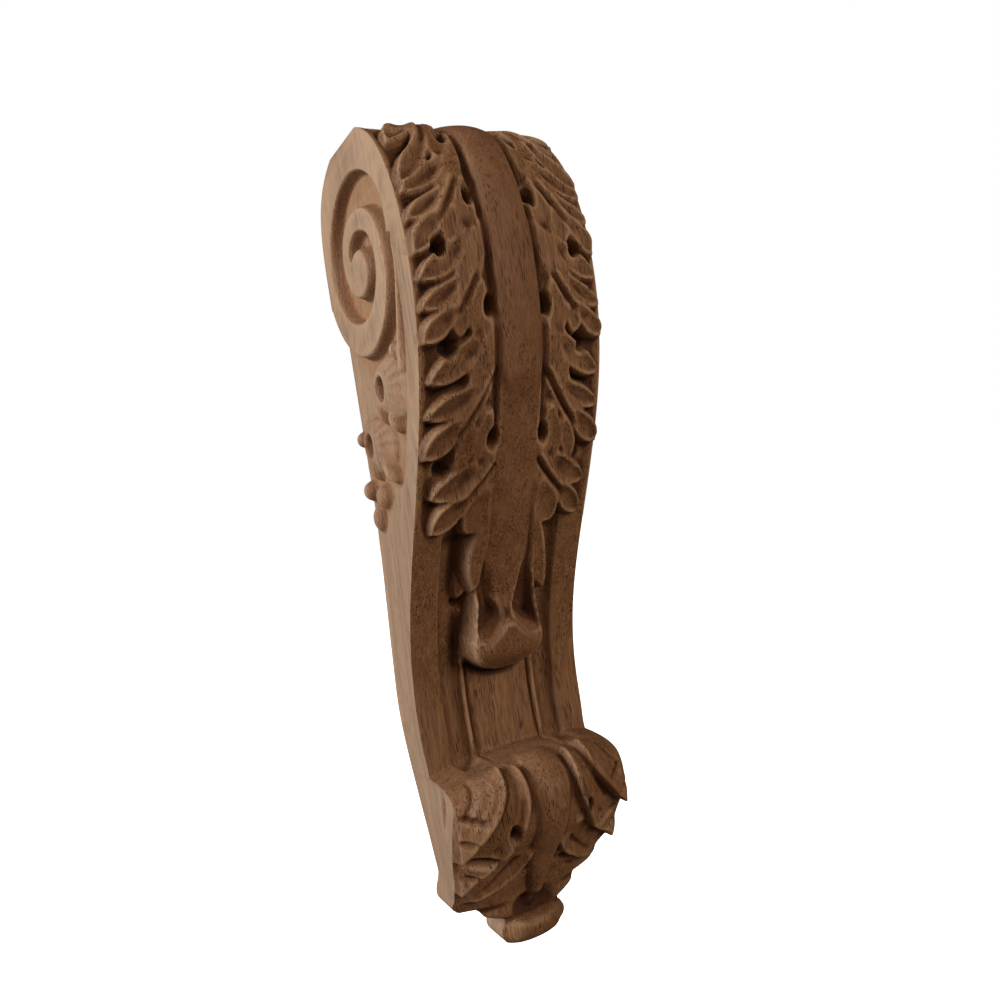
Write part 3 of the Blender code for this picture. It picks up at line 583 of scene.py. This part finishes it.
def closed_loops():
    """One closed loop of points round the piece for every station."""
    edge, mid, rear, s = stations()
    front_half, back_half = half_widths(edge[:, 1])
    front = front_strip(edge, mid, s, front_half)
    side = side_strip(edge, rear, front_half, back_half)
    left = side * np.array([-1, 1, 1])
    loop = np.concatenate([left[:, :-1], front, side[:, -2::-1]], 1)
    a, b = loop[:, -1:], loop[:, :1]
    shares = np.linspace(0, 1, BACK_COLUMNS + 1)[1:-1]
    return np.concatenate([loop] + [a * (1 - q) + b * q for q in shares], 1)


def skin(name, loop):
    """Closed mesh of the whole piece in metres."""
    n, m = loop.shape[:2]
    i = np.arange(n - 1)[:, None] * m
    j = np.arange(m)[None, :]
    following = (j + 1) % m
    quads = np.stack([i + j, i + m + j, i + m + following, i + following], 2).reshape(-1, 4)
    caps = [tuple(range(m)), tuple(reversed(range((n - 1) * m, n * m)))]
    mesh = bpy.data.meshes.new(name)
    points = (loop.reshape(-1, 3) * MILLIMETRE).tolist()
    mesh.from_pydata(points, [], [tuple(q) for q in quads.tolist()] + caps)
    mesh.update()
    return mesh


def cupped(points, reach):
    """How far each point lies below the skin round it, in millimetres, for the painted shade and
    highlight and the roughness of the wood.
    """
    total = np.zeros_like(points)
    for step in range(-reach, reach + 1):
        total += np.roll(points, step, axis=1)
    around = total / (2 * reach + 1)
    padded = np.pad(around, ((reach, reach), (0, 0), (0, 0)), mode="edge")
    run = np.cumsum(np.concatenate([np.zeros_like(padded[:1]), padded]), axis=0)
    around = (run[2 * reach + 1:] - run[:-2 * reach - 1]) / (2 * reach + 1)
    down = np.gradient(points, axis=0)
    across = np.roll(points, -1, axis=1) - np.roll(points, 1, axis=1)
    normal = np.cross(down, across)
    normal /= np.linalg.norm(normal, axis=2, keepdims=True) + 1e-9
    return np.sum((around - points) * normal, axis=2)


def mark(mesh, name, values):
    layer = mesh.attributes.new(name, "FLOAT", "POINT")
    layer.data.foreach_set("value", values.ravel().astype(np.float32))


def from_arris(points, down):
    """Distance in from the nearer front arris: above nought on the front, below it on the sides."""
    corner = points[:, SIDE_COLUMNS]
    column = np.arange(points.shape[1])[None, :]
    on_front = (column >= SIDE_COLUMNS) & (column <= SIDE_COLUMNS + 2 * FRONT_HALF)
    inside = -corner[:, :1] - np.abs(points[..., 0])
    aside = np.hypot(points[..., 1] - corner[:, 1:2], points[..., 2] - corner[:, 2:])
    shaft = smooth(140, 146, down) * smooth(238, 232, down)
    flat = np.where(on_front, shaft[:, None] * smooth(PLAIN_BORDER + 0.6, PLAIN_BORDER, inside),
                    smooth(STRIP_WIDTH, STRIP_WIDTH - 0.8, aside))
    root = 0.95 * smooth(216, 223, down) * smooth(243, 237, down)
    return np.where(on_front, inside, -aside), (1 - flat) * (1 - root[:, None])


def sharpen_back(mesh):
    """Keeps the saw's crisp corner all round the flat back."""
    work = bmesh.new()
    work.from_mesh(mesh)
    for edge in work.edges:
        on_back = max(-corner.co.y for corner in edge.verts) < BACK_CORNER
        if on_back and edge.calc_face_angle(0.0) > BACK_TURN:
            edge.smooth = False
    work.to_mesh(mesh)
    work.free()


loops = closed_loops()
bracket_mesh = skin("bracket", loops)
inward, shaped = from_arris(loops, stations()[3])
mark(bracket_mesh, "nick", cupped(loops, NICK_REACH) * shaped)
mark(bracket_mesh, "hollow", cupped(loops, HOLLOW_REACH) * shaped)
mark(bracket_mesh, "inward", inward)
bracket = bpy.data.objects.new("bracket", bracket_mesh)
bpy.context.scene.collection.objects.link(bracket)
thin = bracket.modifiers.new("thin", "DECIMATE")
thin.ratio = KEPT_SHARE
thin.use_collapse_triangulate = True
fine_mesh = bracket_mesh
thinned = bracket.evaluated_get(bpy.context.evaluated_depsgraph_get())
bracket_mesh = bpy.data.meshes.new_from_object(thinned)
bracket.modifiers.remove(thin)
bracket.data = bracket_mesh
bpy.data.meshes.remove(fine_mesh)
bracket_mesh.polygons.foreach_set("use_smooth", [True] * len(bracket_mesh.polygons))
bracket_mesh.set_sharp_from_angle(angle=np.radians(SHARP_ANGLE))
sharpen_back(bracket_mesh)


# Bare wood
# Unfinished brown hardwood, with open pores and fine growth lines along its length, and fuzzy end
# grain where the chisel crossed it. Painted highlight makes the raised edges pale, with some rubbed
# wear at the arrises; painted shade makes the hollows red-brown and the deepest pits nearly black,
# and darkens the steep flanks, the front-facing walls of the sides and the middle of the upper front.
# The sawn sides are paler and the carved front darker, partly the wood's own tones and partly
# painted light and shade.
SAWN_AND_LIT_DARK = (0.225, 0.140, 0.086, 1)
SAWN_AND_LIT_PALE = (0.330, 0.228, 0.152, 1)
CARVED_AND_SHADED_DARK = (0.172, 0.083, 0.036, 1)
CARVED_AND_SHADED_PALE = (0.275, 0.152, 0.077, 1)
STEM_PAINTED_SHADE = (0.112, 0.040, 0.016, 1)
STREAK = (0.105, 0.040, 0.016, 1)
FIBRE_DARK = (0.098, 0.040, 0.017, 1)
FIBRE_PALE = (0.330, 0.200, 0.112, 1)
SAWN_PAINTED_SHADE = (0.260, 0.138, 0.068, 1)
CARVED_PAINTED_SHADE = (0.046, 0.012, 0.003, 1)
RUBBED_EDGE_AND_HIGHLIGHT = (0.375, 0.245, 0.150, 1)
FRONT_FACING_PAINTED_SHADE = (0.230, 0.098, 0.038, 1)
END_GRAIN = (0.110, 0.046, 0.018, 1)
STEEP_FLANK_PAINTED_SHADE = (0.095, 0.042, 0.017, 1)
OPEN_PORE = (0.028, 0.010, 0.004, 1)
PIT_PAINTED_SHADE = (0.008, 0.003, 0.001, 1)
BARE_SHEEN = 0.28
GRAIN_STRENGTH = 0.6
GRAIN_DEPTH = 0.00035


class Value:
    """A socket that takes part in plain arithmetic."""

    def __init__(self, tree, socket):
        self.tree = tree
        self.socket = socket

    def node(self, kind, settings=None, **inputs):
        """Any node: its type, its settings, then its sockets by name, or by number as i0, i1."""
        made = self.tree.nodes.new(kind)
        for key, setting in (settings or {}).items():
            setattr(made, key, setting)
        for key, given in inputs.items():
            name = key.replace("_", " ")
            numbered = name[0] == "i" and name[1:].isdigit()
            target = made.inputs[int(name[1:]) if numbered else name]
            if isinstance(given, Value):
                self.tree.links.new(given.socket, target)
            else:
                target.default_value = given
        return made

    def maths(self, operation, a, b=0.0, clamp=False):
        made = self.node("ShaderNodeMath", {"operation": operation, "use_clamp": clamp}, i0=a, i1=b)
        return Value(self.tree, made.outputs[0])

    def __add__(self, other):
        return self.maths("ADD", self, other)

    def __radd__(self, other):
        return self.maths("ADD", other, self)

    def __sub__(self, other):
        return self.maths("SUBTRACT", self, other)

    def __rsub__(self, other):
        return self.maths("SUBTRACT", other, self)

    def __mul__(self, other):
        return self.maths("MULTIPLY", self, other)

    def __rmul__(self, other):
        return self.maths("MULTIPLY", other, self)

    def clamp(self):
        return self.maths("ADD", self, 0.0, True)

    def ramp(self, start, end):
        """Nought at start, one at end, eased between."""
        made = self.node("ShaderNodeMapRange", {"interpolation_type": "SMOOTHSTEP"},
                         Value=self, From_Min=start, From_Max=end)
        return Value(self.tree, made.outputs["Result"])

    def over(self, under, upper):
        """Colour under where this is nought, upper where it is one."""
        made = self.node("ShaderNodeMix", {"data_type": "RGBA"}, i0=self, i6=under, i7=upper)
        return Value(self.tree, made.outputs[2])


wood = bpy.data.materials.new("carved_wood")
wood.use_nodes = True
tree = wood.node_tree
shader = tree.nodes["Principled BSDF"]
grain = Value(tree, None)
place = Value(tree, grain.node("ShaderNodeTexCoord").outputs["Object"])


def stretched(x, y, z):
    """Object position in lengths of x, y and z metres, so that a pattern runs along the grain."""
    made = grain.node("ShaderNodeMapping", None, Vector=place, Scale=(1 / x, 1 / y, 1 / z))
    return Value(tree, made.outputs[0])


def noise(vector, detail=3.0, rough=0.5, bend_by=0.0):
    made = grain.node("ShaderNodeTexNoise", None, Vector=vector, Scale=1.0, Detail=detail,
                      Roughness=rough, Distortion=bend_by)
    return Value(tree, made.outputs[0])


def held(name):
    made = grain.node("ShaderNodeAttribute", {"attribute_name": name})
    return Value(tree, made.outputs["Fac"])


broad = noise(stretched(0.03, 0.03, 0.12), 2.0)
rings = noise(stretched(0.0035, 0.0022, 0.11), 3.0, 0.6, 0.4)
fibre = noise(stretched(0.00045, 0.00045, 0.008), 3.0, 0.65)
streak = noise(stretched(0.0012, 0.0012, 0.022), 2.0, 0.6)


def pore_lines(across, along, wide, narrow):
    """Open pores: short dark dashes along the grain, crowded in some bands and few in others."""
    cells = grain.node("ShaderNodeTexVoronoi", {"feature": "F1"}, Scale=1.0, Randomness=1.0,
                       Vector=stretched(across, across, along))
    crowd = noise(stretched(0.004, 0.004, 0.02), 2.0)
    return Value(tree, cells.outputs["Distance"]).ramp(wide, narrow) * crowd.ramp(0.34, 0.6)


pores = (pore_lines(0.0008, 0.0115, 0.30, 0.17) + pore_lines(0.00055, 0.0072, 0.32, 0.19)).clamp()
outward = Value(tree, grain.node("ShaderNodeNewGeometry").outputs["Normal"])
facing = grain.node("ShaderNodeSeparateXYZ", None, Vector=outward)
upright = Value(tree, facing.outputs["Z"])
across = upright.maths("ABSOLUTE", upright).ramp(0.45, 0.95)
fuzz = noise(stretched(0.0006, 0.0006, 0.0016), 3.0, 0.7)
hollow = held("hollow")
nick = held("nick")
inward = held("inward")
carved = inward.ramp(-0.15, 0.15)
# How deep a point lies in a hollow or nick: the mask of the painted shade, also used for roughness.
deep = (hollow.ramp(0.1, 1.1) * 0.9 + 0.5 * nick.ramp(0.05, 0.3)).clamp()
# Painted shade, nearly black, in the deepest hollows: the drilled holes and the grooves.
pit_shade = (hollow.ramp(1.1, 2.1) * carved + hollow.ramp(1.9, 2.9)).clamp()
# Painted shade on the walls of the side carving that face the front.
front_facing_shade = (0.0 - Value(tree, facing.outputs["Y"])).ramp(0.1, 0.45) * (1.0 - carved)
# Painted highlight on the raised crests, where the skin stands above its surroundings.
crest_highlight = (0.0 - nick).ramp(0.08, 0.4) * broad.ramp(0.25, 0.55) * 0.55
worn = inward.maths("ABSOLUTE", inward).ramp(0.9, 0.1) * streak.ramp(0.45, 0.7) * 0.35

tone = (0.55 * rings + 0.45 * broad).ramp(0.3, 0.7)
# Paler sawn sides and darker carved front: partly the wood's own tones, partly painted light on the
# sides and painted shade on the front.
plain = carved.over(tone.over(SAWN_AND_LIT_DARK, SAWN_AND_LIT_PALE), tone.over(CARVED_AND_SHADED_DARK, CARVED_AND_SHADED_PALE))
height_up = Value(tree, grain.node("ShaderNodeSeparateXYZ", None, Vector=place).outputs["Z"])
# Painted shade over the middle stem and tongue of the upper front.
stem_shade = inward.ramp(21.0, 27.0) * height_up.ramp(-0.01, 0.09) * 0.5
plain = stem_shade.over(plain, STEM_PAINTED_SHADE)
plain = (streak.ramp(0.35, 0.7) * 0.4 * carved).over(plain, STREAK)
plain = (fibre.ramp(0.4, 0.75) * (0.15 + 0.55 * carved)).over(plain, FIBRE_DARK)
plain = (fibre.ramp(0.45, 0.2) * 0.3 * carved).over(plain, FIBRE_PALE)
# Painted shade in the hollows and nicks, red-brown on the front and orange-brown on the sides.
plain = (deep * 0.85).over(plain, carved.over(SAWN_PAINTED_SHADE, CARVED_PAINTED_SHADE))
# Pale colour: painted highlight on the raised crests, and rubbed wear along the arrises.
plain = (crest_highlight + worn).clamp().over(plain, RUBBED_EDGE_AND_HIGHLIGHT)
# Painted shade on the front-facing walls of the sides, broken up by a fuzzy grain.
plain = (front_facing_shade * (0.35 + 0.5 * fuzz.ramp(0.35, 0.65))).over(plain, FRONT_FACING_PAINTED_SHADE)
plain = (across * fuzz.ramp(0.4, 0.65) * 0.45).over(plain, END_GRAIN)
sideways = Value(tree, facing.outputs["X"])
# Painted shade on the steep flanks of the front carving that face sideways.
steep = sideways.maths("ABSOLUTE", sideways).ramp(0.78, 0.97) * carved * 0.5
plain = steep.over(plain, STEEP_FLANK_PAINTED_SHADE)
plain = (pores * (0.18 + 0.67 * carved)).over(plain, OPEN_PORE)
# Painted shade in the deepest hollows.
plain = pit_shade.over(plain, PIT_PAINTED_SHADE)
tree.links.new(plain.socket, shader.inputs["Base Color"])
roughness = 0.60 + 0.14 * rings + 0.14 * deep
tree.links.new(roughness.socket, shader.inputs["Roughness"])
shader.inputs["Specular IOR Level"].default_value = BARE_SHEEN
height = 0.5 * fibre + 0.25 * rings - 0.9 * pores + across * fuzz * 0.9
bump = grain.node("ShaderNodeBump", None, Height=height, Strength=GRAIN_STRENGTH, Distance=GRAIN_DEPTH)
tree.links.new(bump.outputs["Normal"], shader.inputs["Normal"])
bracket_mesh.materials.append(wood)

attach(bracket, "root")
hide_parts("carved_corbel")


# Studio
# A plain pale floor of matt paint, well clear of the piece, and a plain white backdrop.
FLOOR_DROP = 0.14
FLOOR_REACH = 12.0
PAINT = (0.9, 0.9, 0.9, 1)
WHITE = (1.0, 1.0, 1.0, 1)
WARM_ROOM = (0.185, 0.127, 0.086, 1)
FLOOR_GLOW = 1.3


def studio_floor():
    mesh = bpy.data.meshes.new("floor")
    r, z = FLOOR_REACH, BOTTOM * MILLIMETRE - FLOOR_DROP
    mesh.from_pydata([(-r, -r, z), (r, -r, z), (r, r, z), (-r, r, z)], [], [(0, 1, 2, 3)])
    floor = bpy.data.objects.new("floor", mesh)
    bpy.context.scene.collection.objects.link(floor)
    paint = bpy.data.materials.new("pale_paint")
    paint.use_nodes = True
    white = paint.node_tree.nodes["Principled BSDF"].inputs
    white["Base Color"].default_value = PAINT
    white["Roughness"].default_value = 0.9
    white["Specular IOR Level"].default_value = 0.0
    white["Emission Color"].default_value = WHITE
    white["Emission Strength"].default_value = FLOOR_GLOW
    mesh.materials.append(paint)
    floor.visible_diffuse = False
    floor.visible_glossy = False
    return floor


studio_floor()

world = bpy.data.worlds.new("studio")
world.use_nodes = True
room = Value(world.node_tree, None)
seen = Value(world.node_tree, room.node("ShaderNodeLightPath").outputs["Is Camera Ray"])
backdrop = world.node_tree.nodes["Background"]
world.node_tree.links.new(seen.over(WARM_ROOM, WHITE).socket, backdrop.inputs["Color"])
backdrop.inputs["Strength"].default_value = 1.0
bpy.context.scene.world = world
bpy.context.scene.view_settings.view_transform = "Standard"


# Lights
# One broad soft light high on the left, which leaves the front in half shade, and a weak one
# from the front right.
KEY_SPOT = (-1.24, 0.0, 0.45)
KEY_SIZE = 0.45
KEY_POWER = 20.5
KEY_COLOUR = (1.0, 1.0, 1.0)
FILL_SPOT = (0.35, -1.1, 0.35)
FILL_SIZE = 0.5
FILL_POWER = 7.8
FILL_COLOUR = (1.0, 0.86, 0.7)


def soft_light(name, spot, size, power, colour):
    light = bpy.data.lights.new(name, "AREA")
    light.shape = "SQUARE"
    light.size = size
    light.energy = power
    light.color = colour
    lamp = bpy.data.objects.new(name, light)
    lamp.location = spot
    lamp.rotation_euler = (-Vector(spot)).to_track_quat("-Z", "Y").to_euler()
    bpy.context.scene.collection.objects.link(lamp)


soft_light("key", KEY_SPOT, KEY_SIZE, KEY_POWER, KEY_COLOUR)
soft_light("fill", FILL_SPOT, FILL_SIZE, FILL_POWER, FILL_COLOUR)


# Camera
# At the photograph's viewing angle: a close view from the left, a little below the middle,
# with the camera tipped to one side.
TURN, TILT, ROLL = np.radians((-29.96, -0.81, -9.42))
SPOT = (-0.1424, -0.2850, 0.0152)
LENS = 31.14


def photo_camera():
    camera = bpy.data.cameras.new("photo_view")
    camera.lens = LENS
    camera.clip_start = 0.01
    backward = np.array([np.sin(TURN) * np.cos(TILT), -np.cos(TURN) * np.cos(TILT), np.sin(TILT)])
    level = np.array([np.cos(TURN), np.sin(TURN), 0.0])
    upward = np.cross(backward, level)
    c, s = np.cos(ROLL), np.sin(ROLL)
    axes = np.stack([c * level + s * upward, c * upward - s * level, backward, np.array(SPOT)], 1)
    holder = bpy.data.objects.new("photo_view", camera)
    bpy.context.scene.collection.objects.link(holder)
    holder.matrix_world = Matrix([list(row) for row in axes] + [(0.0, 0.0, 0.0, 1.0)])
    bpy.context.scene.camera = holder


photo_camera()
